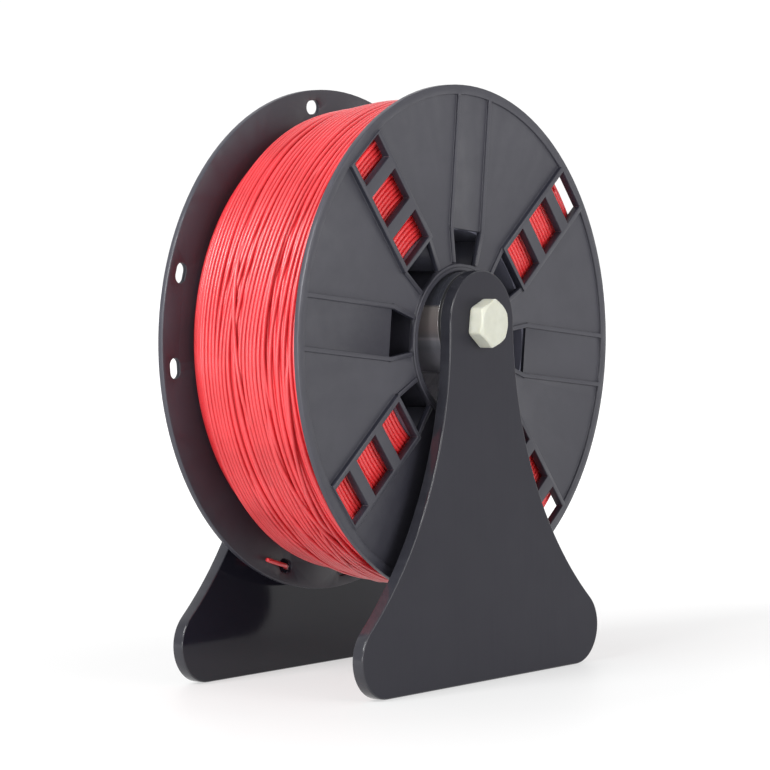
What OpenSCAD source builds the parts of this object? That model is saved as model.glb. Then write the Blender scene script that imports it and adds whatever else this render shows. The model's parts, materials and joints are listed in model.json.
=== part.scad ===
// Spool holder stand: two side plates clamped to a hollow axle drum, with a loaded filament spool
// hanging on the drum.  Millimetres.  X runs along the side plates, Y along the axle, Z up.
// The origin is on the ground, midway between the two side plates.

/* [Stand] */
// Height of the axle centre above the ground
axle_z = 139.5; // [135:0.5:150]
// Thickness of each side plate
plate_t = 5; // [3:0.5:8]
// Clear distance between the two side plates
plate_gap = 84; // [80:1:100]
// Radius of the round head of a side plate
head_r = 20.5; // [20:0.5:24]
// Radius of the hollow flank arcs of a side plate
flank_r = 150; // [140:1:170]
// Radius of the rounded feet
foot_r = 15; // [12:0.5:18]

/* [Axle] */
// Outer radius of the axle drum
drum_r = 20; // [18:0.5:20]
// Wall thickness of the axle drum
drum_wall = 3; // [2:0.5:4]
// Thickness of the lip of an end cap
cap_lip = 1.5; // [1:0.5:3]
// Length of the end cap's spigot inside the drum
cap_spigot = 15; // [14:1:20]

/* [Bolts] */
// Nominal diameter of the bolts
bolt_d = 10; // [8:1:10]
// Distance across the flats of the hex heads and nuts
hex_af = 17; // [15:0.5:17]
// Height of a bolt head
head_h = 6.4; // [5:0.2:7]
// Length of a bolt under its head
bolt_len = 25; // [25:1:30]
// Height of a nut
nut_h = 8; // [6:0.5:8]

/* [Spool] */
// Outer radius of the spool flanges
spool_r = 100; // [98:0.5:102]
// Overall width of the spool
spool_w = 69; // [66:0.5:70]
// Middle of the spool along the axle
spool_y = -2.25; // [-4:0.25:2]
// Radius of the bore of the spool
bore_r = 27.5; // [26:0.25:28]
// How far the spool is turned from its square position, in degrees
spool_turn = -6.5; // [-22:0.5:22]
// Thickness of the flange panels
panel_t = 1.4; // [1.2:0.1:2]
// Height of the raised rim and ribs over the panels
relief_t = 1; // [0.6:0.1:1.4]
// Height of the window arms over the rim and ribs
ladder_t = 1; // [0.4:0.1:1.5]
// Width of the raised rim
rim_w = 3.7; // [3:0.1:4.5]
// Width of a rib
rib_w = 1.8; // [1.4:0.1:2.4]

/* [Filament] */
// Diameter of the filament
fil_d = 1.75; // [1.5:0.05:2]
// Radius of the full winding
wind_r = 94.9; // [92:0.1:95.2]

/* [Hidden] */
$fn = 96;

round_fn = 180;        // facets asked for on the big circles
foot_steps = 24;       // points along each arc of a side plate's edge
flank_steps = 32;
head_steps = 24;
through = 1;           // overshoot of a cutting tool past a face
fit = 0.05;            // radial clearance of parts that slide together
run_gap = 0.15;        // running clearance between the drum and the spool's bore
hole_play = 0.25;      // radial clearance of a bolt in a plate
head_turn = 22;        // angle of a corner of the front bolt head
arms = 8;              // arms of the flange pattern: four ribbed, four with windows
arm_step = 360 / arms;

// Stand
gap_y = plate_gap / 2;                       // inner face of a side plate
face_y = gap_y + plate_t;                    // outer face of a side plate
flank_x = head_r + flank_r;                  // centre of a flank arc, level with the axle
foot_drop = axle_z - foot_r;                 // from the axle down to a foot's centre
foot_x = flank_x - sqrt(pow(flank_r + foot_r, 2) - pow(foot_drop, 2));
lean = atan2(foot_drop, flank_x - foot_x);   // direction from a foot's centre to its flank arc's centre

// Axle
hole_r = bolt_d / 2 + hole_play;
drum_bore_r = drum_r - drum_wall;
drum_len = plate_gap - 2 * cap_lip;
spigot_end = gap_y - cap_lip - cap_spigot;   // inner end of a cap
nut_pocket_r = hex_af / sqrt(3) + fit;
head_chamfer = 0.8;
thread_r = bolt_d / 2 - fit;

// Spool
flange_t = panel_t + relief_t;
spool_z = axle_z + drum_r + run_gap - bore_r; // the bore hangs on the top of the drum
y_front = spool_y - spool_w / 2;
y_rear = spool_y + spool_w / 2;
sleeve_wall = 1.6;
sleeve_r = bore_r + sleeve_wall;
hub_ring_w = 1.4;                            // raised ring round the sleeve
barrel_in = 43.8;
barrel_out = 45.3;
pocket_in = sleeve_r + 1.2;                  // hub pockets, between sleeve and barrel
pocket_out = barrel_in;
pocket_w_in = 6.2;                           // half widths of a hub pocket, inner and outer end
pocket_w_out = 9.2;
window_w = 9;                                // half width of a window
windows = [[45.5, 59], [64.5, 79], [84.5, 95.3]]; // inner and outer radius of each window
rib_off = 10;                                // main ribs stand this far off the arm's centre line
rail_play = 0.3;                             // between a window's edge and its side rail
rail_off = window_w + rib_w / 2 + rail_play; // side rails of a window arm
arm_len = spool_r - rim_w / 2 - pocket_out;  // from the hub pocket to the middle of the rim
ladder_end = 95.9;                           // the high part of a window arm ends short of the rim
tie_r = 93.2;                                // tie holes for the filament end
tie_turn = 11.3;                             // tie holes either side of a ribbed arm
tie_hole_r = 2.75;
tie_slot = 2.5;
tie_collar_w = 1.3;                          // low collar round a tie hole
tie_collar_t = 0.5;
web_t = 2;

// Winding: full near the front flange, sloping down gently and then steeply to the rear one
wind_front_gap = 1.4;
wind_rear_gap = 0.4;
wind_steep = 11;       // length of the steep stretch at the rear
wind_slope = 26.5;     // length of the gentle stretch before it
knee_r = wind_r - 3.7; // radius where the two meet
wind_low_r = knee_r - 8.4;
wind_front = y_front + flange_t + wind_front_gap;
wind_rear = y_rear - flange_t - wind_rear_gap;

// A flat shape drawn in X and Z, thickened from y0 towards +Y
module slab(y0, t) {
    translate([0, y0 + t, 0]) rotate([90, 0, 0]) linear_extrude(t) children();
}

// A tube or rod round the Y axis
module ring(y0, y1, r_out, r_in = 0) {
    translate([0, y1, 0]) rotate([90, 0, 0]) difference() {
        cylinder(r = r_out, h = y1 - y0, $fn = round_fn);
        if (r_in > 0)
            translate([0, 0, -through]) cylinder(r = r_in, h = y1 - y0 + 2 * through, $fn = round_fn);
    }
}

module mirror_y(flip) {
    if (flip) mirror([0, 1, 0]) children();
    else children();
}

// Points along an arc, from just after its first end, so that arcs can follow each other
function arc(x, z, r, from, to, steps) =
    [for (i = [1:steps]) let (a = from + (to - from) * i / steps) [x + r * cos(a), z + r * sin(a)]];
// The same points on the other side, without the last one, which lies on the middle line
function mirrored(pts) = [for (i = [len(pts) - 2:-1:0]) [-pts[i][0], pts[i][1]]];

// Right half of a side plate's edge: rounded foot, hollow flank, and half of the round head
function plate_half() = concat(
    [[foot_x, 0]],
    arc(foot_x, foot_r, foot_r, -90, lean, foot_steps),
    arc(flank_x, axle_z, flank_r, 180 + lean, 180, flank_steps),
    arc(0, axle_z, head_r, 0, 90, head_steps));

module plate_outline() {
    difference() {
        polygon(concat(plate_half(), mirrored(plate_half())));
        translate([0, axle_z]) circle(r = hole_r);
    }
}

module side_plate_front() {
    color([0.26, 0.26, 0.27]) slab(-face_y, plate_t) plate_outline();
}

module side_plate_rear() {
    color([0.26, 0.26, 0.27]) slab(gap_y, plate_t) plate_outline();
}

module axle_drum() {
    color([0.16, 0.16, 0.17]) translate([0, 0, axle_z])
        ring(-drum_len / 2, drum_len / 2, drum_r, drum_bore_r);
}

// Cap at the +Y end: a lip against the plate, a spigot in the drum, a hex pocket for the nut
module cap_solid() {
    difference() {
        union() {
            ring(gap_y - cap_lip, gap_y, drum_r);
            ring(spigot_end, gap_y - cap_lip, drum_bore_r);
        }
        ring(spigot_end - through, gap_y + through, hole_r);
        slab(spigot_end - through, nut_h + through) circle(r = nut_pocket_r, $fn = 6);
    }
}

module axle_cap_front() {
    color([0.2, 0.2, 0.21]) translate([0, 0, axle_z]) mirror_y(true) cap_solid();
}

module axle_cap_rear() {
    color([0.2, 0.2, 0.21]) translate([0, 0, axle_z]) cap_solid();
}

// Hex bolt whose head rests on the +Y plate
module bolt_solid(turn) {
    corner_r = hex_af / sqrt(3);
    rotate([0, turn, 0]) intersection() {
        slab(face_y, head_h) circle(r = corner_r, $fn = 6);
        translate([0, face_y, 0]) rotate([-90, 0, 0]) rotate_extrude($fn = round_fn)
            polygon([[0, 0], [corner_r + through, 0], [corner_r + through, head_h - head_chamfer],
                     [hex_af / 2 - head_chamfer, head_h], [0, head_h]]);
    }
    ring(face_y - bolt_len, face_y + head_h / 2, thread_r);
}

module hex_bolts() {
    color([0.84, 0.84, 0.78]) translate([0, 0, axle_z]) {
        mirror_y(true) bolt_solid(-head_turn);
        bolt_solid(head_turn);
    }
}

module captive_nuts() {
    color([0.84, 0.84, 0.78]) translate([0, 0, axle_z]) for (flip = [false, true]) mirror_y(flip)
        difference() {
            slab(spigot_end, nut_h) circle(r = hex_af / sqrt(3), $fn = 6);
            ring(spigot_end - through, spigot_end + nut_h + through, bolt_d / 2);
        }
}

// Everything on the spool is drawn about its own centre, turned with it
module on_spool() {
    translate([0, 0, spool_z]) rotate([0, -spool_turn, 0]) children();
}

module window_2d(w) {
    translate([w[0], -window_w]) square([w[1] - w[0], 2 * window_w]);
}

// Outline of a hub pocket, made wider by grow on both sides
module pocket_2d(grow = 0) {
    polygon([[pocket_in, -pocket_w_in - grow], [pocket_out, -pocket_w_out - grow],
             [pocket_out, pocket_w_out + grow], [pocket_in, pocket_w_in + grow]]);
}

// Two ribs along an arm, beside the hub pocket and on to the rim
module rails_2d(off) {
    for (s = [-1, 1]) translate([pocket_out, s * off - rib_w / 2]) square([arm_len, rib_w]);
    difference() {
        pocket_2d(rib_w);
        pocket_2d();
    }
}

// Long holes for the filament end, either side of each ribbed arm
module tie_holes_2d(grow = 0) {
    for (k = [0:2:arms - 1], s = [-1, 1])
        rotate(k * arm_step + s * tie_turn) translate([tie_r, 0]) {
            for (e = [-1, 1]) translate([0, e * tie_slot / 2]) circle(r = tie_hole_r + grow, $fn = 48);
            square([2 * (tie_hole_r + grow), tie_slot], center = true);
        }
}

module flange_holes_2d(window_list, ties) {
    circle(r = sleeve_r, $fn = round_fn);
    for (k = [0:arms - 1]) rotate(k * arm_step) pocket_2d();
    for (k = [1:2:arms - 1]) rotate(k * arm_step) for (w = window_list) window_2d(w);
    if (ties) tie_holes_2d();
}

// Everything on a flange that stands up over its panels
module flange_relief_2d() {
    difference() {
        circle(r = spool_r, $fn = round_fn);
        circle(r = spool_r - rim_w, $fn = round_fn);
    }
    difference() {
        circle(r = sleeve_r + hub_ring_w, $fn = round_fn);
        circle(r = sleeve_r, $fn = round_fn);
    }
    for (k = [0:2:arms - 1]) rotate(k * arm_step) rails_2d(rib_off);
    for (k = [1:2:arms - 1]) rotate(k * arm_step) rails_2d(rail_off);
    ladders_2d(arm_len);
}

// The flat arms with the windows
module ladders_2d(length) {
    half_w = rail_off + rib_w / 2;
    for (k = [1:2:arms - 1]) rotate(k * arm_step)
        translate([pocket_out, -half_w]) square([length, 2 * half_w]);
}

// Flange with its outer face towards -Y, at y0
module flange_solid(y0, window_list, ties) {
    difference() {
        union() {
            slab(y0 + relief_t, panel_t) circle(r = spool_r, $fn = round_fn);
            if (ties) slab(y0 + relief_t - tie_collar_t, tie_collar_t + panel_t / 2)
                tie_holes_2d(tie_collar_w);
            slab(y0, relief_t) intersection() {
                flange_relief_2d();
                circle(r = spool_r, $fn = round_fn);
            }
            slab(y0 - ladder_t, ladder_t + relief_t / 2) ladders_2d(ladder_end - pocket_out);
        }
        slab(y0 - ladder_t - through, flange_t + ladder_t + 2 * through)
            flange_holes_2d(window_list, ties);
    }
}

module spool_flange_front() {
    color([0.36, 0.36, 0.38]) on_spool() flange_solid(y_front, windows, false);
}

module spool_flange_rear() {
    color([0.33, 0.33, 0.35]) on_spool() mirror_y(true)
        flange_solid(-y_rear, [windows[0], windows[1]], true);
}

module core_barrel() {
    color([0.3, 0.3, 0.32]) on_spool() ring(y_front + flange_t, y_rear - flange_t, barrel_out, barrel_in);
}

module core_webs() {
    web_in = sleeve_r - through;
    web_out = barrel_in + through;
    color([0.28, 0.28, 0.3]) on_spool() intersection() {
        ring(y_front + flange_t, y_rear - flange_t, barrel_in, sleeve_r);
        for (k = [0:arms - 1]) rotate([0, (k + 0.5) * arm_step, 0])
            translate([web_in, y_front + flange_t, -web_t / 2])
                cube([web_out - web_in, spool_w - 2 * flange_t, web_t]);
    }
}

module bore_sleeve() {
    color([0.4, 0.4, 0.42]) on_spool() ring(y_front, y_rear, sleeve_r, bore_r);
}

module filament_winding() {
    color([0.87, 0.25, 0.27]) on_spool() translate([0, wind_rear, 0]) rotate([90, 0, 0])
        rotate_extrude($fn = round_fn)
            polygon([[barrel_out, 0], [wind_low_r, 0], [knee_r, wind_steep],
                     [wind_r, wind_steep + wind_slope],
                     [wind_r, wind_rear - wind_front], [barrel_out, wind_rear - wind_front]]);
}

// Free end of the filament: off the winding, out through one tie hole, back in through its neighbour.
// Each point is angle on the flange, radius, distance from the flange's inner face (+Y is outwards).
TAIL = [[300, 92.8, -15], [293, 92.8, -8.5], [288, 93, -4.6], [285.2, 93.1, -2.6],
        [283, 93.1, -0.9], [281, 93, 1.3], [279, 92.9, 3.1], [276, 92.8, 3.7],
        [270, 92.8, 3.7], [264.6, 92.9, 3.8], [262.4, 93, 3.8], [261, 93.1, 3.1],
        [260, 93.2, 1.8], [259.1, 93.3, 0.4], [258, 93.4, -0.8], [256.3, 93.6, -1.4],
        [253.4, 94.1, -1.6], [250.2, 94.8, -1.6]];
tail_sides = 12;

function tail_point(p) = [p[1] * cos(p[0]), y_rear - flange_t + p[2], p[1] * sin(p[0])];
function unit(v) = v / norm(v);
function heading(pts, i) = unit(pts[min(i + 1, len(pts) - 1)] - pts[max(i - 1, 0)]);
function outward(p) = unit([p[0], 0, p[2]]);
function tube_ring(pts, i, r) =
    let (d = heading(pts, i), u = unit(cross(d, outward(pts[i]))), v = cross(u, d))
    [for (k = [0:tail_sides - 1]) let (a = 360 * k / tail_sides) pts[i] + r * (cos(a) * u + sin(a) * v)];

// A round bar along a list of points
module tube_along(pts, r) {
    n = tail_sides;
    last = len(pts) - 1;
    polyhedron(
        points = [for (i = [0:last]) each tube_ring(pts, i, r)],
        faces = [[for (k = [n - 1:-1:0]) k],
                 for (i = [0:last - 1], k = [0:n - 1])
                     [i * n + (k + 1) % n, (i + 1) * n + (k + 1) % n, (i + 1) * n + k, i * n + k],
                 [for (k = [0:n - 1]) last * n + k]],
        convexity = 6);
}

module filament_tail() {
    color([0.87, 0.25, 0.27]) on_spool() tube_along([for (p = TAIL) tail_point(p)], fil_d / 2);
}

side_plate_front();
side_plate_rear();
axle_drum();
axle_cap_front();
axle_cap_rear();
hex_bolts();
captive_nuts();
spool_flange_front();
spool_flange_rear();
core_barrel();
core_webs();
bore_sleeve();
filament_winding();
filament_tail();
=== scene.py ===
"""Looks of the spool holder stand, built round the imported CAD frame.  Metres, Z up, Y along the axle."""
import json
import math

import bmesh
import bpy
import numpy as np
from mathutils import Matrix, Vector
from mathutils.geometry import tessellate_polygon


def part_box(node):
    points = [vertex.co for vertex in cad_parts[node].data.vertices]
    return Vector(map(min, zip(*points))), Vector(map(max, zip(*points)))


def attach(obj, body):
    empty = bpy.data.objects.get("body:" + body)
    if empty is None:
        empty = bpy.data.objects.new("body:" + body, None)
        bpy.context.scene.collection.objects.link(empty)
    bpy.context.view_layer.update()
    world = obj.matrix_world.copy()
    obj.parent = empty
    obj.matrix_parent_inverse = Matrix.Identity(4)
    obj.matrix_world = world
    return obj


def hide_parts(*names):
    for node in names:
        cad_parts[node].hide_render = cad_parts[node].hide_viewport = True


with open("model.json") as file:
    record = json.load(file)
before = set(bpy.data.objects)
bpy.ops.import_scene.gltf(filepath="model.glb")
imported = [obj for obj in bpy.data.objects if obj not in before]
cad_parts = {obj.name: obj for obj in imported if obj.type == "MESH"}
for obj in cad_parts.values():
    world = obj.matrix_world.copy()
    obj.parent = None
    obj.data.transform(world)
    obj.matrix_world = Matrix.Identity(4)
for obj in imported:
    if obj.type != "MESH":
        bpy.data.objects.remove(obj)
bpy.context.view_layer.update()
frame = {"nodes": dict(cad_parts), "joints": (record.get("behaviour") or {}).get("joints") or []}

MM = 0.001
TAU = 2 * math.pi


# ---------------------------------------------------------------- sizes taken from the frame

def middle(node):
    low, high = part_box(node)
    return (low + high) / 2


def extent(node):
    low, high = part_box(node)
    return high - low


AXLE_Z = middle("axle_drum").z
DRUM_R = extent("axle_drum").z / 2
DRUM_Y0, DRUM_Y1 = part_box("axle_drum")[0].y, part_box("axle_drum")[1].y
PLATE_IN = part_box("side_plate_rear")[0].y          # inner face of the rear plate
PLATE_T = extent("side_plate_rear").y
PLATE_ROUND = 0.45 * MM                            # radius of a plate's rounded edges
DRUM_WALL = 3 * MM
HEX_AF = 17 * MM                                   # across the flats of the bolt heads
HEAD_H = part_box("hex_bolts")[1].y - PLATE_IN - PLATE_T
BOLT_LEN = 25 * MM
SHANK_R = 4.85 * MM
HEX_FLAT_R = HEX_AF / 2
HEX_CORNER_R = HEX_FLAT_R + 1.05 * MM              # its slightly rounded corners stay inside this
HEAD_FACE_R = HEX_FLAT_R - 0.5 * MM                # the head's flat face inside its chamfer
# A bolt's head, down from its top: depth, and how far past the rim of its flat face it reaches, in mm
HEAD_RINGS = [(0, -1.5), (0, -0.25), (0.02, -0.08), (0.07, 0.06), (0.3, 0.45), (0.6, 0.95), (0.9, 1.5),
              (1.3, 2.2)]
# Its tip, down the shank: height over the end, and how much thinner than the shank it is, in mm
TIP_RINGS = [(0.9, 0), (0.8, 0.1), (0.1, 0.8), (0, 0.9), (0, 1.5)]
SPOOL_Z = frame["joints"][0]["pos_m"][2]
FLANGE_R = extent("spool_flange_front").x / 2
Y_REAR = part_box("spool_flange_rear")[1].y
FLANGE_T = extent("spool_flange_front").y
RIM_W = 4.5 * MM                                   # a flange's rim and hub ring, kept in the plain plastic
HUB_RING_W = 2 * MM
BORE_R = 27.5 * MM
SLEEVE_R = extent("bore_sleeve").z / 2
BARREL_IN = 43.8 * MM
WIND_Y0, WIND_Y1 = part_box("filament_winding")[0].y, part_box("filament_winding")[1].y
WIND_R = extent("filament_winding").z / 2
WIND_STEEP = 11 * MM                               # the winding drops steeply near the rear flange
WIND_SLOPE = 26.5 * MM                             # and gently before that
KNEE_DROP = 3.7 * MM
END_DROP = 12.1 * MM
EDGE_LEN, EDGE_DROP = 4 * MM, 2.2 * MM             # it is rounded off at the front flange
BARREL_R = extent("core_barrel").z / 2
STRAND_R = 0.875 * MM
TOP_TURNS, UNDER_TURNS = 26, 33
UNDER_DEPTH = 1.1 * MM                             # the under layer lies this much deeper than the top one
RIDER_LIFT = 2 * MM                                # from the under layer to a turn that crosses over others
TURN_STEPS = 200                                   # points in one turn of a wound strand
GAP_SHARE = 0.42                                   # chance of a gap, tried twice for each top turn
LOOSENESS = 0.14 * MM                              # how far a top turn rises and falls
# The top layer hangs a little loose at the lowest part of the winding, most of all near the front flange
SAG = 0.9 * MM
SAG_FROM, SAG_SWEEP = 215, 100                     # degrees round the axle
SAG_END, SAG_LEN = 14 * MM, 30 * MM                # places along Y
ROW_PITCH = 1.9 * MM                               # between the strand ends seen in the windows
# Two layers of them: how many rows further from the barrel they start, and how deep they lie in mm
END_LAYERS = [(0, 0.02), (0.5, 1.15)]
END_SCATTER = 0.18 * MM
END_WAVE_Y, END_WAVE_R = 0.09 * MM, 0.05 * MM
CORE_DEPTH, CORE_END = 2.7 * MM, 2.9 * MM          # the solid core stays this far inside the strands
# Turns that climb over their neighbours: start and sweep in degrees, place along Y from and to, in mm
RIDERS = [(192, 70, -13, -24), (206, 60, -5, -14), (128, 66, -20, -15), (300, 55, 4, -5), (20, 60, -22, -14),
          (338, 48, 12, 5), (150, 52, 3, -4), (222, 46, -17, -9), (176, 58, -27, -20), (212, 64, 6, -2)]
SPOOL_TURN = math.radians(-6.5)                    # how far the spool is turned at rest
WELD = 0.000002                                    # vertices closer than this are one

# The photo's viewpoint, fitted to the object's outlines
CAMERA_PLACE = (-1.0846, -0.8451, 0.1818)
CAMERA_TURN = (-52.035, 2.801, -0.636)             # azimuth, pitch and roll in degrees
LENS_MM, SENSOR_MM = 162.35, 36

# Lamps: name, place, width and height, watts.  All point at the middle of the object
LAMPS = [("key", (-1.5, 0.15, 1.2), (0.8, 0.8), 40),
         ("front", (0.1, -1.8, 0.55), (1.2, 1.0), 16),
         ("low_left", (-1.7, -0.1, 0.16), (1.1, 0.3), 9)]
LAMP_TARGET = (0, 0, 0.12)
WALL_WAY = (0.788, 0.615, 0)                       # towards the bright wall behind the object


# ---------------------------------------------------------------- node materials

class Shader:
    """A Principled material and short ways to add nodes to it."""

    def __init__(self, name, **values):
        self.material = bpy.data.materials.new(name)
        self.material.use_nodes = True
        self.nodes = self.material.node_tree.nodes
        self.links = self.material.node_tree.links
        self.bsdf = self.nodes["Principled BSDF"]
        for key, value in values.items():
            self.bsdf.inputs[key.replace("_", " ")].default_value = value

    def node(self, kind, **settings):
        n = self.nodes.new(kind)
        for key, value in settings.items():
            if hasattr(n, key):
                setattr(n, key, value)
            else:
                n.inputs[key.replace("_", " ")].default_value = value
        return n

    def link(self, output, target):
        self.links.new(output, target)

    def set(self, socket, output):
        self.links.new(output, self.bsdf.inputs[socket])

    def coords(self, scale=(1, 1, 1)):
        where = self.node("ShaderNodeTexCoord")
        shift = self.node("ShaderNodeMapping")
        shift.inputs["Scale"].default_value = scale
        self.link(where.outputs["Object"], shift.inputs["Vector"])
        return shift.outputs["Vector"]

    def noise(self, scale, detail=3, roughness=0.5, stretch=(1, 1, 1), distortion=0.0):
        n = self.node("ShaderNodeTexNoise", Scale=scale, Detail=detail, Roughness=roughness,
                      Distortion=distortion)
        self.link(self.coords(stretch), n.inputs["Vector"])
        return n.outputs["Fac"]

    def ramp(self, fac, stops):
        n = self.node("ShaderNodeValToRGB")
        elements = n.color_ramp.elements
        while len(elements) < len(stops):
            elements.new(0.5)
        for element, (position, colour) in zip(elements, stops):
            element.position = position
            element.color = (*colour, 1)
        self.link(fac, n.inputs["Fac"])
        return n.outputs["Color"]

    def span(self, fac, low, high, from_low=0.0, from_high=1.0):
        n = self.node("ShaderNodeMapRange")
        n.inputs["From Min"].default_value = from_low
        n.inputs["From Max"].default_value = from_high
        n.inputs["To Min"].default_value = low
        n.inputs["To Max"].default_value = high
        self.link(fac, n.inputs["Value"])
        return n.outputs["Result"]

    def mix(self, fac, colour, other):
        """From a linked colour to a plain one, by a linked factor."""
        n = self.node("ShaderNodeMix", data_type="RGBA")
        factor, a, b = n.inputs[0], n.inputs[6], n.inputs[7]          # the sockets of its colour mode
        self.link(fac, factor)
        self.link(colour, a)
        b.default_value = (*other, 1)
        return n.outputs[2]

    def math(self, operation, a, b):
        n = self.node("ShaderNodeMath", operation=operation)
        for socket, value in zip(n.inputs, (a, b)):
            if isinstance(value, (int, float)):
                socket.default_value = value
            else:
                self.link(value, socket)
        return n.outputs[0]

    def bump(self, height, distance, strength=1.0, under=None):
        n = self.node("ShaderNodeBump", Strength=strength, Distance=distance)
        self.link(height, n.inputs["Height"])
        if under is not None:
            self.link(under, n.inputs["Normal"])
        return n.outputs["Normal"]


def black_acrylic(name="black_acrylic", low=(0.0118, 0.0112, 0.0175), high=(0.0140, 0.0133, 0.0203),
                  rough_low=0.045, rough_high=0.085):
    """Cast sheet, polished or satin: near black, faint haze and fine wipe marks."""
    s = Shader(name, Specular_IOR_Level=0.26, IOR=1.49)
    cloud = s.noise(22, 4, 0.55)
    s.set("Base Color", s.ramp(cloud, [(0.3, low), (0.75, high)]))
    haze = s.noise(60, 5, 0.6)
    wipe = s.noise(900, 2, 0.5, (1, 1, 0.04))
    rough = s.math("ADD", s.span(haze, rough_low, rough_high, 0.3, 0.7), s.span(wipe, 0.0, 0.03, 0.45, 0.7))
    s.set("Roughness", rough)
    s.set("Normal", s.bump(cloud, 0.0002, 0.10))
    return s.material


def acrylic_edge():
    """The flame-polished edge of the same sheet."""
    s = Shader("black_acrylic_edge", Specular_IOR_Level=0.5, IOR=1.49)
    ripple = s.noise(260, 3, 0.5, (1, 0.2, 1))
    s.set("Base Color", s.ramp(ripple, [(0.3, (0.0200, 0.0202, 0.0255)), (0.7, (0.0245, 0.0248, 0.0310))]))
    s.set("Roughness", s.span(ripple, 0.10, 0.20, 0.3, 0.7))
    s.set("Normal", s.bump(ripple, 0.00003, 0.25))
    return s.material


def spool_plastic(name="spool_plastic", low=(0.0285, 0.028, 0.038), high=(0.038, 0.0375, 0.049)):
    """Satin injection moulding: charcoal, faint flow clouds, fine texture and dust."""
    s = Shader(name, Specular_IOR_Level=0.5, IOR=1.5)
    cloud = s.noise(16, 4, 0.6, distortion=0.6)
    speck = s.noise(1400, 2, 0.6)
    colour = s.ramp(cloud, [(0.3, low), (0.7, high)])
    dust = s.ramp(speck, [(0.70, (0, 0, 0)), (0.78, (1, 1, 1))])
    s.set("Base Color", s.mix(s.math("MULTIPLY", dust, 0.10), colour, (0.16, 0.16, 0.165)))
    s.set("Roughness", s.span(s.noise(110, 4, 0.6), 0.34, 0.50, 0.3, 0.7))
    s.set("Normal", s.bump(s.noise(3200, 2), 0.00001, 0.5, s.bump(s.noise(45, 3), 0.00025, 0.20)))
    return s.material


def painted_shade_wall_plastic():
    """The same moulding on its deep walls, with a finer texture and its colour darkened as painted shade."""
    s = Shader("spool_plastic_wall_painted_shade", Specular_IOR_Level=0.3, IOR=1.5)
    cloud = s.noise(90, 3)
    s.set("Base Color", s.ramp(cloud, [(0.3, (0.019, 0.0195, 0.029)), (0.7, (0.026, 0.0265, 0.039))]))
    s.set("Roughness", s.span(s.noise(150, 4, 0.6), 0.40, 0.55, 0.3, 0.7))
    s.set("Normal", s.bump(s.noise(2600, 2), 0.00001, 0.5))
    return s.material


# Painted reflections on the drum, from its underside, 0, to its top, 1.  The photo shows them as bands along
# the tube
DRUM_PAINTED_REFLECTIONS = [(0, (0.30, 0.295, 0.33)), (0.125, (0.22, 0.215, 0.24)), (0.20, (0.15, 0.148, 0.168)),
              (0.27, (0.105, 0.105, 0.12)), (0.335, (0.125, 0.125, 0.14)), (0.36, (0.165, 0.155, 0.165)),
              (0.385, (0.095, 0.088, 0.092)), (0.45, (0.118, 0.098, 0.096)), (0.66, (0.148, 0.132, 0.124)),
              (0.69, (0.018, 0.020, 0.028))]


def drum_plastic():
    """Smooth extruded tube: turning marks round it, and painted reflections in bands along it, dark on top.
    """
    s = Shader("drum_plastic", Specular_IOR_Level=0.9, IOR=1.5, Coat_Weight=0.8, Coat_Roughness=0.06)
    marks = s.noise(1800, 2, 0.5, (0.03, 1, 0.03))
    place = s.node("ShaderNodeSeparateXYZ")
    s.link(s.coords(), place.inputs["Vector"])
    height = s.span(place.outputs["Z"], 0, 1, AXLE_Z - DRUM_R, AXLE_Z + DRUM_R)
    # the tube's colour is painted reflections, banded by height
    tube = s.ramp(height, DRUM_PAINTED_REFLECTIONS)
    s.set("Base Color", s.mix(s.math("MULTIPLY", marks, 0.25), tube, (0.06, 0.06, 0.065)))
    s.set("Roughness", s.span(s.noise(90, 4), 0.05, 0.10, 0.3, 0.7))
    s.set("Normal", s.bump(marks, 0.00002, 0.5))
    return s.material


def painted_light_bore_plastic():
    """The bore of the spool, smooth, its colour lifted to a pale grey as painted light."""
    s = Shader("spool_plastic_bore_painted_light", Specular_IOR_Level=0.6, IOR=1.5)
    marks = s.noise(1400, 3, 0.6, (0.05, 1, 0.05))
    s.set("Base Color", s.ramp(marks, [(0.3, (0.50, 0.485, 0.53)), (0.7, (0.60, 0.585, 0.63))]))
    s.set("Roughness", s.span(s.noise(120, 4), 0.22, 0.34, 0.3, 0.7))
    s.set("Normal", s.bump(marks, 0.00001, 0.4))
    return s.material


def cap_plastic():
    """Moulded end cap: a little duller than the drum."""
    s = Shader("cap_plastic", Specular_IOR_Level=0.5, IOR=1.5)
    grain = s.noise(2200, 2)
    s.set("Base Color", s.ramp(s.noise(120, 3), [(0.3, (0.018, 0.018, 0.019)), (0.7, (0.027, 0.027, 0.028))]))
    s.set("Roughness", s.span(s.noise(200, 4), 0.28, 0.42, 0.3, 0.7))
    s.set("Normal", s.bump(grain, 0.00002, 0.4))
    return s.material


def natural_nylon():
    """Ivory nylon: slightly waxy, lit from within, faint mottling."""
    s = Shader("natural_nylon", Specular_IOR_Level=0.5, IOR=1.53, Subsurface_Weight=0.25,
               Subsurface_Scale=0.002)
    s.bsdf.inputs["Subsurface Radius"].default_value = (1.0, 0.8, 0.5)
    mottle = s.noise(260, 4, 0.6)
    s.set("Base Color", s.ramp(mottle, [(0.3, (0.50, 0.505, 0.425)), (0.7, (0.56, 0.565, 0.485))]))
    s.set("Roughness", s.span(s.noise(600, 3), 0.36, 0.52, 0.3, 0.7))
    s.set("Normal", s.bump(s.noise(1500, 3), 0.00003, 0.35))
    return s.material


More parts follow.
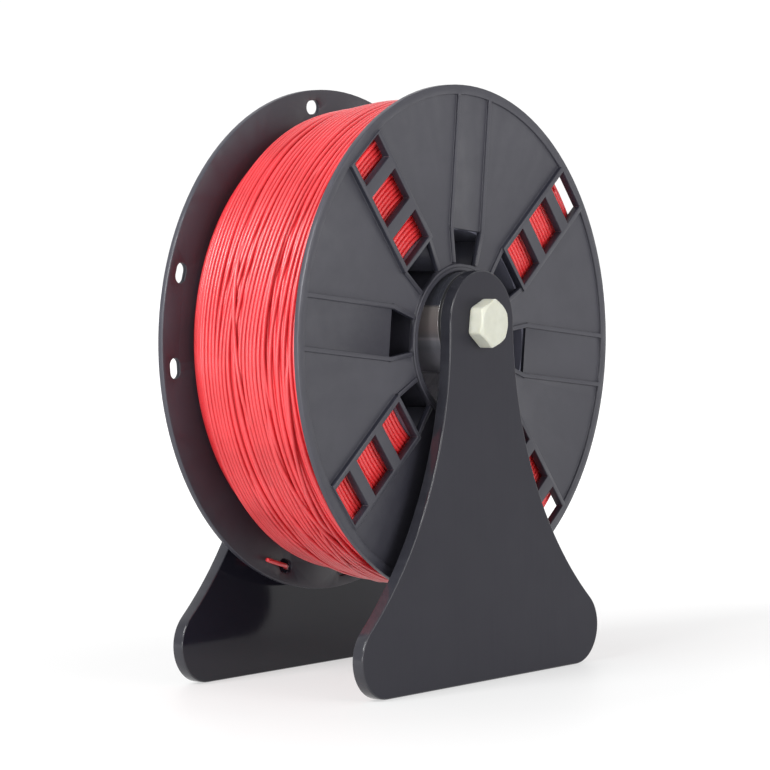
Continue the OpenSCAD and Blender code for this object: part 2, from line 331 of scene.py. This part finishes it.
def red_filament(name="red_filament", low=(0.50, 0.014, 0.020), high=(0.63, 0.029, 0.038), glow=0.0):
    """Glossy extruded strand: coral red, small changes of shade.  glow is painted light: an emission that
    lifts the shade between the strands.
    """
    s = Shader(name, Specular_IOR_Level=0.65, IOR=1.47, Subsurface_Weight=0.35,
               Subsurface_Scale=0.0012, Coat_Weight=0.6, Coat_Roughness=0.40)
    s.bsdf.inputs["Subsurface Radius"].default_value = (1.0, 0.25, 0.2)
    shade = s.noise(60, 3, 0.55)
    s.set("Base Color", s.ramp(shade, [(0.3, low), (0.7, high)]))
    s.set("Roughness", s.span(s.noise(500, 3), 0.30, 0.46, 0.3, 0.7))
    s.set("Normal", s.bump(s.noise(2400, 2), 0.00002, 0.3))
    s.bsdf.inputs["Emission Color"].default_value = (0.75, 0.015, 0.022, 1)
    s.bsdf.inputs["Emission Strength"].default_value = glow
    return s.material


# ---------------------------------------------------------------- mesh helpers

def new_piece(name, mesh, materials, body, slot, *nodes):
    """A piece of the object that rides on a body and stands for CAD nodes."""
    piece = bpy.data.objects.new(name, mesh)
    bpy.context.scene.collection.objects.link(piece)
    for material in materials:
        mesh.materials.append(material)
    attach(piece, body)
    if nodes:
        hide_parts(*nodes)
    return piece


def grid_mesh(name, rings, closed_loop=False):
    """A mesh through closed rings of points, shape (rings, sides, 3).  An open row of rings gets end caps."""
    count, sides = rings.shape[:2]
    i = np.arange(count if closed_loop else count - 1)[:, None] * sides
    i_next = (i + sides) % (count * sides)
    k = np.arange(sides)[None, :]
    k_next = (k + 1) % sides
    faces = np.stack([i + k, i + k_next, i_next + k_next, i_next + k], axis=-1).reshape(-1, 4).tolist()
    if not closed_loop:
        faces.append(list(range(sides - 1, -1, -1)))
        faces.append([(count - 1) * sides + side for side in range(sides)])
    mesh = bpy.data.meshes.new(name)
    mesh.from_pydata(rings.reshape(-1, 3).tolist(), [], faces)
    mesh.polygons.foreach_set("use_smooth", [True] * len(mesh.polygons))
    mesh.update()
    return mesh


def join_meshes(name, parts):
    """One mesh from several."""
    bm = bmesh.new()
    for part in parts:
        bm.from_mesh(part)
        bpy.data.meshes.remove(part)
    bmesh.ops.recalc_face_normals(bm, faces=bm.faces)
    mesh = bpy.data.meshes.new(name)
    bm.to_mesh(mesh)
    bm.free()
    return mesh


def lathe(name, profile, centre_z, segments=160):
    """A closed profile of (y, radius) points turned round the axle line at centre_z."""
    angle = np.linspace(0, TAU, segments, endpoint=False)
    y, r = np.array(profile).T
    rings = np.stack([np.cos(angle)[:, None] * r, np.broadcast_to(y, (segments, len(y))),
                      centre_z + np.sin(angle)[:, None] * r], axis=-1)
    return grid_mesh(name, rings, closed_loop=True)


def rounded(points, radius, steps=4):
    """A closed outline with each corner rounded.  radius is one number or one for each corner."""
    out = []
    count = len(points)
    radii = radius if isinstance(radius, (list, tuple)) else [radius] * count
    for i in range(count):
        here = Vector(points[i])
        before, after = Vector(points[i - 1]) - here, Vector(points[(i + 1) % count]) - here
        reach = min(radii[i], before.length * 0.45, after.length * 0.45)
        a, b = here + before.normalized() * reach, here + after.normalized() * reach
        for t in (j / steps for j in range(steps + 1)):
            out.append(tuple((1 - t) ** 2 * a + 2 * t * (1 - t) * here + t * t * b))
    return out


def soft_edges(piece, width, segments, angle=35):
    """Round every edge sharper than angle, in degrees."""
    bevel = piece.modifiers.new("soft_edges", "BEVEL")
    bevel.width = width
    bevel.segments = segments
    bevel.limit_method = "ANGLE"
    bevel.angle_limit = math.radians(angle)
    bevel.use_clamp_overlap = False
    bevel.harden_normals = True
    bevel.loop_slide = False


def from_node(name, node, materials, body, slot, width, segments=3, choose=None, whole=False):
    """The CAD node's own shape with its edges softened.  whole makes its flat faces whole first."""
    source = frame["nodes"][node]
    bm = bmesh.new()
    bm.from_mesh(source.data)
    bmesh.ops.remove_doubles(bm, verts=bm.verts, dist=WELD)
    if whole:
        bmesh.ops.dissolve_limit(bm, angle_limit=math.radians(0.6), verts=bm.verts, edges=bm.edges)
    bmesh.ops.recalc_face_normals(bm, faces=bm.faces)
    for face in bm.faces:
        face.smooth = True
        face.material_index = choose(face) if choose else 0
    mesh = bpy.data.meshes.new(name)
    bm.to_mesh(mesh)
    bm.free()
    piece = new_piece(name, mesh, materials, body, slot, node)
    if width:
        soft_edges(piece, width, segments)
    return piece


# ---------------------------------------------------------------- the stand

def edge_loops(node):
    """The closed outlines of a CAD plate's face towards -Y, as lists of (x, z), longest first."""
    bm = bmesh.new()
    bm.from_mesh(frame["nodes"][node].data)
    bmesh.ops.remove_doubles(bm, verts=bm.verts, dist=WELD)
    after = {}
    for face in bm.faces:
        if face.normal.y < -0.9:
            for loop in face.loops:
                if all(other.normal.y > -0.9 for other in loop.edge.link_faces if other != face):
                    after[loop.vert] = loop.link_loop_next.vert
    loops = []
    while after:
        here = next(iter(after))
        loop = []
        while here in after:
            loop.append((here.co.x, here.co.z))
            here = after.pop(here)
        loops.append(np.array(loop))
    bm.free()
    return sorted(loops, key=len, reverse=True)


def inset(loop, distance):
    """The outline moved towards its left-hand side."""
    before, following = loop - np.roll(loop, 1, axis=0), np.roll(loop, -1, axis=0) - loop
    ways = [step / np.linalg.norm(step, axis=1)[:, None] for step in (before, following)]
    normal = sum(np.stack([-way[:, 1], way[:, 0]], axis=1) for way in ways)
    normal /= (normal * normal).sum(axis=1)[:, None] / 2
    return loop + distance * normal


def plate_mesh(node, round_r, steps=5):
    """The plate with flat faces and evenly rounded edges.

    Material 0 is the face towards the spool, 1 the edges and 2 the face that looks outward.
    """
    y0, y1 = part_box(node)[0].y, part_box(node)[1].y
    phi = np.linspace(math.pi / 2, 0, steps + 1)
    into = np.concatenate([1 - np.cos(phi), 1 - np.cos(phi[::-1])]) * round_r
    y = np.concatenate([y0 + (1 - np.sin(phi)) * round_r, y1 - (1 - np.sin(phi[::-1])) * round_r])
    verts, faces, slots, tops = [], [], [], [[], []]
    for loop in edge_loops(node):
        sides = len(loop)
        base = len(verts)
        for distance, place in zip(into, y):
            verts += [(x, place, z) for x, z in inset(loop, distance)]
        for ring in range(len(y) - 1):
            for k in range(sides):
                a, b = base + ring * sides + k, base + ring * sides + (k + 1) % sides
                faces.append((a, a + sides, b + sides, b))
                slots.append(1)
        tops[0].append(range(base, base + sides))
        tops[1].append(range(base + (len(y) - 1) * sides, base + len(y) * sides))
    for top, outward in zip(tops, (y0 < 0, y1 > 0)):
        index = [i for ring in top for i in ring]
        for tri in tessellate_polygon([[Vector(verts[i]) for i in ring] for ring in top]):
            faces.append(tuple(index[i] for i in tri))
            slots.append(2 if outward else 0)
    mesh = bpy.data.meshes.new(node)
    mesh.from_pydata(verts, [], faces)
    bm = bmesh.new()
    bm.from_mesh(mesh)
    bm.faces.ensure_lookup_table()
    for face, slot in zip(bm.faces, slots):
        face.material_index = slot
        face.smooth = slot == 1
    bmesh.ops.recalc_face_normals(bm, faces=bm.faces)
    bm.to_mesh(mesh)
    bm.free()
    return mesh


def build_plates(acrylic, edge, outer):
    for end in ("front", "rear"):
        node = f"side_plate_{end}"
        new_piece(f"plate_{end}", plate_mesh(node, PLATE_ROUND), [acrylic, edge, outer], "stand",
                  "black_acrylic", node)


def build_drum(drum, cap):
    inside = DRUM_R - DRUM_WALL
    profile = rounded([(DRUM_Y0, inside), (DRUM_Y0, DRUM_R), (DRUM_Y1, DRUM_R), (DRUM_Y1, inside)], 0.3 * MM)
    new_piece("drum", lathe("drum", profile, AXLE_Z), [drum], "stand", "drum_plastic", "axle_drum")
    for end in ("front", "rear"):
        from_node(f"cap_{end}", f"axle_cap_{end}", [cap], "stand", "cap_plastic", 0.3 * MM)


def corner_angle(end):
    """Direction of a corner of the hex head at one end, -1 or 1, seen along the axle."""
    corners = [v.co for v in frame["nodes"]["hex_bolts"].data.vertices if v.co.y * end > PLATE_IN + PLATE_T]
    far = max(corners, key=lambda co: math.hypot(co.x, co.z - AXLE_Z))
    return math.atan2(far.z - AXLE_Z, far.x)


def soft_min(a, b, blend):
    """The smaller of two lengths, with the change between them rounded."""
    mid = np.clip(0.5 + 0.5 * (b - a) / blend, 0, 1)
    return b + (a - b) * mid - blend * mid * (1 - mid)


def bolt_mesh(end, sides=240):
    """A moulded hex bolt: chamfered head, slightly rounded corners, plain shank with a chamfered tip."""
    theta = np.linspace(0, TAU, sides, endpoint=False)
    sector = (theta - corner_angle(end)) % (TAU / 6)
    hexagon = soft_min(HEX_FLAT_R / np.cos(sector - TAU / 12), HEX_CORNER_R, 0.5 * MM)
    base = PLATE_IN + PLATE_T
    top, tip = base + HEAD_H, base - BOLT_LEN
    profile = [(top - depth * MM, soft_min(hexagon, HEAD_FACE_R + past * MM, 0.12 * MM))
               for depth, past in HEAD_RINGS]
    profile += [(base + 0.3 * MM, hexagon), (base + 0.08 * MM, hexagon), (base, hexagon - 0.15 * MM),
                (base, SHANK_R + 0.3 * MM), (base, SHANK_R), (base - 0.1 * MM, SHANK_R)]
    profile += [(tip + height * MM, SHANK_R - thinner * MM) for height, thinner in TIP_RINGS]
    rings = [np.stack([r * np.cos(theta), np.full(sides, end * y), AXLE_Z + r * np.sin(theta)], axis=-1)
             for y, r in profile]
    return grid_mesh("bolt", np.array(rings))


def build_bolts(nylon):
    mesh = join_meshes("bolts", [bolt_mesh(-1), bolt_mesh(1)])
    new_piece("bolts", mesh, [nylon], "stand", "natural_nylon", "hex_bolts")
    from_node("nuts", "captive_nuts", [nylon], "stand", "natural_nylon", 0.4 * MM, whole=True)


# ---------------------------------------------------------------- the spool

def painted_shade_slot(face):
    """1, the plastic darkened as painted shade, for a wall of a window, arm or pocket of a flange; 0 for its
    faces, rim and hub ring.
    """
    centre = face.calc_center_median()
    radius = math.hypot(centre.x, centre.z - SPOOL_Z)
    return int(abs(face.normal.y) < 0.5 and SLEEVE_R + HUB_RING_W < radius < FLANGE_R - RIM_W)


def build_spool(plastic, painted_shade_wall_plastic, painted_light_bore_plastic, painted_light_core_plastic):
    for end in ("front", "rear"):
        # the walls of windows, arms and pockets take the darker plastic, painted shade
        piece = from_node(f"flange_{end}", f"spool_flange_{end}", [plastic, painted_shade_wall_plastic], "spool",
                          "spool_plastic", 0.28 * MM, 2, choose=painted_shade_slot)
        piece.modifiers["soft_edges"].material = 0
    # the webs and the barrel take a lighter plastic, painted light in the hub's shade
    from_node("webs", "core_webs", [painted_light_core_plastic], "spool", "spool_plastic", 0)
    y0, y1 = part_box("core_barrel")[0].y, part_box("core_barrel")[1].y
    profile = rounded([(y0, BARREL_IN), (y0, BARREL_R), (y1, BARREL_R), (y1, BARREL_IN)], 0.1 * MM)
    new_piece("barrel", lathe("barrel", profile, SPOOL_Z), [painted_light_core_plastic], "spool", "spool_plastic",
              "core_barrel")
    y0, y1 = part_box("bore_sleeve")[0].y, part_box("bore_sleeve")[1].y
    profile = rounded([(y0, BORE_R), (y0, SLEEVE_R), (y1, SLEEVE_R), (y1, BORE_R)],
                      [0.7 * MM, 0.15 * MM, 0.15 * MM, 0.7 * MM])
    mesh = lathe("sleeve", profile, SPOOL_Z)
    for face in mesh.polygons:
        reach = math.hypot(face.center.x, face.center.z - SPOOL_Z)
        # the bore's faces take the pale plastic, painted light
        face.material_index = int(reach < BORE_R + 0.1 * MM)
    new_piece("sleeve", mesh, [plastic, painted_light_bore_plastic], "spool", "spool_plastic", "bore_sleeve")


def wind_radius(y):
    """Outer radius of the winding at a place along the axle."""
    knee = WIND_Y1 - WIND_STEEP
    radius = np.interp(y, [WIND_Y0 + EDGE_LEN, knee - WIND_SLOPE, knee, WIND_Y1],
                       [WIND_R, WIND_R, WIND_R - KNEE_DROP, WIND_R - END_DROP])
    return radius - EDGE_DROP * np.clip(1 - (y - WIND_Y0) / EDGE_LEN, 0, 1) ** 2


def ease(t):
    """A smooth step from 0 to 1."""
    return t * t * (3 - 2 * t)


def smooth_noise(rng, count, size):
    """A random wave of about count bumps, for size points, from -1 to 1."""
    knots = rng.uniform(-1, 1, count + 3)
    x = np.linspace(0, count, size)
    i = np.minimum(x.astype(int), count - 1)
    t = ease(x - i)
    return knots[i] * (1 - t) + knots[i + 1] * t


def strand_rings(angle, y, radius, sides):
    """Rings of a strand that goes round the axle, at each angle, place along Y and radius."""
    turn = np.arange(sides) / sides * TAU
    out = radius[:, None] + STRAND_R * np.cos(turn)[None, :]
    along = y[:, None] + STRAND_R * np.sin(turn)[None, :]
    return np.stack([out * np.cos(angle)[:, None], along, SPOOL_Z + out * np.sin(angle)[:, None]], axis=-1)


def hump(x):
    """0 outside 0 to 1, rising smoothly to 1 at x = 0.5."""
    return ease(np.clip(1 - np.abs(2 * x - 1), 0, 1))


def helix_places(rng, steps, turns, y0, y1, open_share):
    """Places along Y of a wound strand, for steps points a turn.  Its turns touch, except where gaps open."""
    gaps = np.full((turns, steps), 0.05)
    here = np.arange(steps)
    for row in range(turns):
        for _ in range(2):
            if rng.random() < open_share:
                half = rng.uniform(0.10, 0.36) * steps
                away = (here - rng.uniform(0, steps) + steps / 2) % steps - steps / 2
                gaps[row] += rng.uniform(0.4, 1.0) * hump(0.5 + 0.5 * away / half)
    touch = 2 * STRAND_R * rng.uniform(0.86, 1.01, (turns, 1))
    pitch = touch + gaps / gaps.sum(axis=0) * (y1 - y0 - touch.sum())
    places = y0 + np.concatenate([np.zeros((1, steps)), np.cumsum(pitch, axis=0)])
    lead = np.linspace(0, 1, steps, endpoint=False)
    flat = places[:-1] + (places[1:] - places[:-1]) * lead
    return flat.reshape(-1)


def rider(start, sweep, y_from, y_to):
    """A turn that climbs over its neighbours and drops back between them, as RIDERS lists it."""
    t = np.linspace(0, 1, 70)
    angle = np.radians(start + sweep * t)
    y = (y_from + (y_to - y_from) * ease(t)) * MM
    climb = 0.22                                   # the share of its length in which it climbs or drops
    lift = RIDER_LIFT * ease(np.clip(np.minimum(t, 1 - t) / climb, 0, 1)) - UNDER_DEPTH
    return grid_mesh("rider", strand_rings(angle, y, wind_radius(y) - STRAND_R + lift, 10))


def layer_end(rng, name, y_side, sense, material):
    """Strands at one end of the winding, seen through the windows of a flange."""
    steps, seam = 180, 20                          # near its seam a loop is plain, so that its ends meet
    theta = np.linspace(0, TAU, steps, endpoint=False)
    fade = np.minimum(1, np.minimum(np.arange(steps), np.arange(steps)[::-1]) / seam)
    top = wind_radius(y_side) - ROW_PITCH
    parts = []
    for rows_in, depth in END_LAYERS:
        r = BARREL_R + STRAND_R * (1 + 2 * rows_in)
        while r < top:
            wave = smooth_noise(rng, 5, steps) * fade
            inward = STRAND_R + depth * MM + END_SCATTER * rng.uniform(0, 1)
            at = y_side + sense * inward + END_WAVE_Y * wave
            parts.append(grid_mesh("loop", strand_rings(theta, at, r + END_WAVE_R * wave, 8),
                                   closed_loop=True))
            r += ROW_PITCH
    new_piece(name, join_meshes(name, parts), [material], "spool", "red_filament")


def build_winding(red, deep, side):
    rng = np.random.default_rng(11)
    y0, y1 = WIND_Y0 + STRAND_R, WIND_Y1 - STRAND_R
    y = helix_places(rng, TURN_STEPS, TOP_TURNS, y0, y1, GAP_SHARE)
    angle = np.arange(len(y)) / TURN_STEPS * TAU
    lift = LOOSENESS * smooth_noise(rng, 90, len(y))
    sag = hump((np.degrees(angle) % 360 - SAG_FROM) / SAG_SWEEP) * np.clip((SAG_END - y) / SAG_LEN, 0, 1)
    radius = wind_radius(y) - STRAND_R - 0.1 * MM + lift + SAG * sag
    parts = [grid_mesh("top", strand_rings(angle, y, radius, 12))]
    parts += [rider(*row) for row in RIDERS]
    new_piece("winding_top_layer", join_meshes("winding_top_layer", parts), [red], "spool", "red_filament",
              "filament_winding")

    # the layer below goes the other way round, and shows in the gaps
    y = np.linspace(y0 + 0.3 * MM, y1 - 0.3 * MM, UNDER_TURNS * TURN_STEPS)
    angle = 0.7 - np.arange(len(y)) / TURN_STEPS * TAU
    # the under layer takes the deep red, whose emission is painted light in the gaps
    under = grid_mesh("under", strand_rings(angle, y, wind_radius(y) - STRAND_R - UNDER_DEPTH, 10))
    new_piece("winding_under_layer", join_meshes("winding_under_layer", [under]), [deep], "spool",
              "red_filament")

    # the strand ends take the lighter red, painted light for their place in the flanges' shade
    layer_end(rng, "winding_front_side", WIND_Y0, 1, side)
    layer_end(rng, "winding_rear_side", WIND_Y1, -1, side)

    # what is wound underneath, as one body
    y_a, y_b = WIND_Y0 + CORE_END, WIND_Y1 - CORE_END
    knee = WIND_Y1 - WIND_STEEP
    outline = [(y, wind_radius(y) - CORE_DEPTH) for y in (y_a, knee - WIND_SLOPE, knee, y_b)]
    profile = [(y_a, BARREL_R + 0.1 * MM), *outline, (y_b, BARREL_R + 0.1 * MM)]
    # the core takes the same deep red with its painted light
    new_piece("winding_core", lathe("winding_core", profile, SPOOL_Z), [deep], "spool", "red_filament")


# The free end of the filament: angle on the flange in degrees, radius and distance from its inner face in mm
TAIL = [(305, 90.5, -18.5), (300, 92.3, -15), (293, 92.8, -8.5), (288, 93, -4.6), (285.2, 93.1, -2.6),
        (283, 93.1, -0.9), (281, 93, 1.3), (279, 92.9, 3.1), (276, 92.8, 3.7), (270, 92.8, 3.7),
        (264.6, 92.9, 3.8), (262.4, 93, 3.8), (261, 93.1, 3.1), (260, 93.2, 1.8), (259.1, 93.3, 0.4),
        (258, 93.4, -0.8), (256.3, 93.6, -1.4), (253.4, 94.1, -1.6), (250.2, 94.8, -1.6)]


def curve_through(points, steps):
    """Catmull-Rom points through a list of points."""
    p = [2 * points[0] - points[1], *points, 2 * points[-1] - points[-2]]
    out = []
    for i in range(1, len(p) - 2):
        for t in (j / steps for j in range(steps)):
            out.append(0.5 * (2 * p[i] + (p[i + 1] - p[i - 1]) * t
                              + (2 * p[i - 1] - 5 * p[i] + 4 * p[i + 1] - p[i + 2]) * t * t
                              + (3 * p[i] - p[i - 1] - 3 * p[i + 1] + p[i + 2]) * t ** 3))
    out.append(points[-1])
    return out


def build_tail(red):
    inner = Y_REAR - FLANGE_T
    points = []
    for degrees, r, out in TAIL:
        a = math.radians(degrees)
        points.append(Vector((r * math.cos(a) * MM, inner + out * MM, r * math.sin(a) * MM)))
    path = curve_through(points, 6)
    turn = Matrix.Rotation(-SPOOL_TURN, 3, "Y")
    sides = 16
    rings = []
    for i, point in enumerate(path):
        along = (path[min(i + 1, len(path) - 1)] - path[max(i - 1, 0)]).normalized()
        across = along.cross(Vector((point.x, 0, point.z))).normalized()
        up = across.cross(along)
        end = min(i, len(path) - 1 - i)
        size = STRAND_R * (0.82 if end == 0 else 1)
        rings.append([turn @ (point + size * (math.cos(TAU * k / sides) * across
                                              + math.sin(TAU * k / sides) * up))
                      + Vector((0, 0, SPOOL_Z)) for k in range(sides)])
    rings = np.array([[tuple(v) for v in ring] for ring in rings])
    mesh = join_meshes("tail", [grid_mesh("tail", rings)])
    new_piece("tail", mesh, [red], "spool", "red_filament", "filament_tail")


# ---------------------------------------------------------------- camera, floor and light

def build_camera():
    data = bpy.data.cameras.new("camera")
    data.sensor_width = SENSOR_MM
    data.lens = LENS_MM
    data.clip_start, data.clip_end = 0.05, 20
    camera = bpy.data.objects.new("camera", data)
    bpy.context.scene.collection.objects.link(camera)
    bpy.context.scene.camera = camera
    azimuth, pitch, roll = (math.radians(degrees) for degrees in CAMERA_TURN)
    right = Vector((math.cos(azimuth), math.sin(azimuth), 0))
    back = Vector((math.sin(azimuth) * math.cos(pitch), -math.cos(azimuth) * math.cos(pitch),
                   math.sin(pitch)))
    up = back.cross(right)
    axes = Matrix((math.cos(roll) * right + math.sin(roll) * up,
                   math.cos(roll) * up - math.sin(roll) * right, back))
    camera.matrix_world = Matrix.Translation(CAMERA_PLACE) @ axes.transposed().to_4x4()


def build_floor():
    """A wide white floor that glows and melts into the white wall.  Its glow is weaker near the object,
    painted shade round it, and only there do its shadows show.
    """
    s = Shader("studio_floor_painted_shade", Roughness=0.5, Specular_IOR_Level=0.1)
    s.set("Base Color", s.ramp(s.noise(1.2, 2), [(0.3, (0.29, 0.29, 0.29)), (0.7, (0.31, 0.31, 0.31))]))
    s.bsdf.inputs["Emission Color"].default_value = (1, 1, 1, 1)
    reach = s.node("ShaderNodeVectorMath", operation="LENGTH")
    s.link(s.coords(), reach.inputs[0])
    # the glow is weaker near the object: painted shade round it
    s.set("Emission Strength", s.span(reach.outputs["Value"], 0.53, 0.90, from_low=0.12, from_high=0.8))
    bm = bmesh.new()
    bmesh.ops.create_grid(bm, x_segments=24, y_segments=24, size=6)
    mesh = bpy.data.meshes.new("floor")
    bm.to_mesh(mesh)
    bm.free()
    mesh.materials.append(s.material)
    floor = bpy.data.objects.new("floor", mesh)
    floor.location.z = -0.0002                     # just under the feet, so that no two faces coincide
    bpy.context.scene.collection.objects.link(floor)


def area_light(name, place, size, power):
    data = bpy.data.lights.new(name, "AREA")
    data.shape = "RECTANGLE"
    data.size, data.size_y = size
    data.energy = power
    lamp = bpy.data.objects.new(name, data)
    lamp.location = place
    lamp.rotation_euler = (Vector(LAMP_TARGET) - Vector(place)).to_track_quat("-Z", "Y").to_euler()
    bpy.context.scene.collection.objects.link(lamp)


def build_light():
    """A white studio, brightest on the wall behind the object, and three soft lamps."""
    world = bpy.data.worlds.new("studio")
    bpy.context.scene.world = world
    world.use_nodes = True
    nodes, links = world.node_tree.nodes, world.node_tree.links
    where = nodes.new("ShaderNodeTexCoord")
    ahead = nodes.new("ShaderNodeVectorMath")
    ahead.operation = "DOT_PRODUCT"
    ahead.inputs[1].default_value = WALL_WAY
    wall = nodes.new("ShaderNodeMapRange")
    for key, value in (("From Min", 0.0), ("From Max", 0.7), ("To Min", 0.55), ("To Max", 1.05)):
        wall.inputs[key].default_value = value
    links.new(where.outputs["Generated"], ahead.inputs[0])
    links.new(ahead.outputs["Value"], wall.inputs["Value"])
    links.new(wall.outputs["Result"], nodes["Background"].inputs["Strength"])
    nodes["Background"].inputs["Color"].default_value = (1, 1, 1, 1)
    for lamp in LAMPS:
        area_light(*lamp)


# ---------------------------------------------------------------- everything

build_camera()
build_floor()
build_light()
bpy.context.scene.view_settings.view_transform = "Standard"

SATIN_ACRYLIC = black_acrylic("black_acrylic_outer", low=(0.0135, 0.0130, 0.0200),
                              high=(0.0157, 0.0151, 0.0228), rough_low=0.42, rough_high=0.48)
build_plates(black_acrylic(), acrylic_edge(), SATIN_ACRYLIC)
build_drum(drum_plastic(), cap_plastic())
build_bolts(natural_nylon())
# The core plastic is a lighter copy of the spool plastic: painted light
build_spool(spool_plastic(), painted_shade_wall_plastic(), painted_light_bore_plastic(),
            spool_plastic("spool_plastic_core_painted_light", (0.12, 0.121, 0.16), (0.15, 0.151, 0.195)))
RED = red_filament()
# The deep red has an emission: painted light that lifts the shade in the gaps
RED_DEEP_PAINTED_GLOW = red_filament("red_filament_deep_painted_glow", low=(0.50, 0.020, 0.028), high=(0.62, 0.028, 0.038), glow=0.12)
# The side red is a lighter copy of the filament: painted light for the strands in the flanges' shade
RED_SIDE_PAINTED_LIGHT = red_filament("red_filament_side_painted_light", low=(0.70, 0.026, 0.030), high=(0.82, 0.042, 0.048))
build_winding(RED, RED_DEEP_PAINTED_GLOW, RED_SIDE_PAINTED_LIGHT)
build_tail(RED)
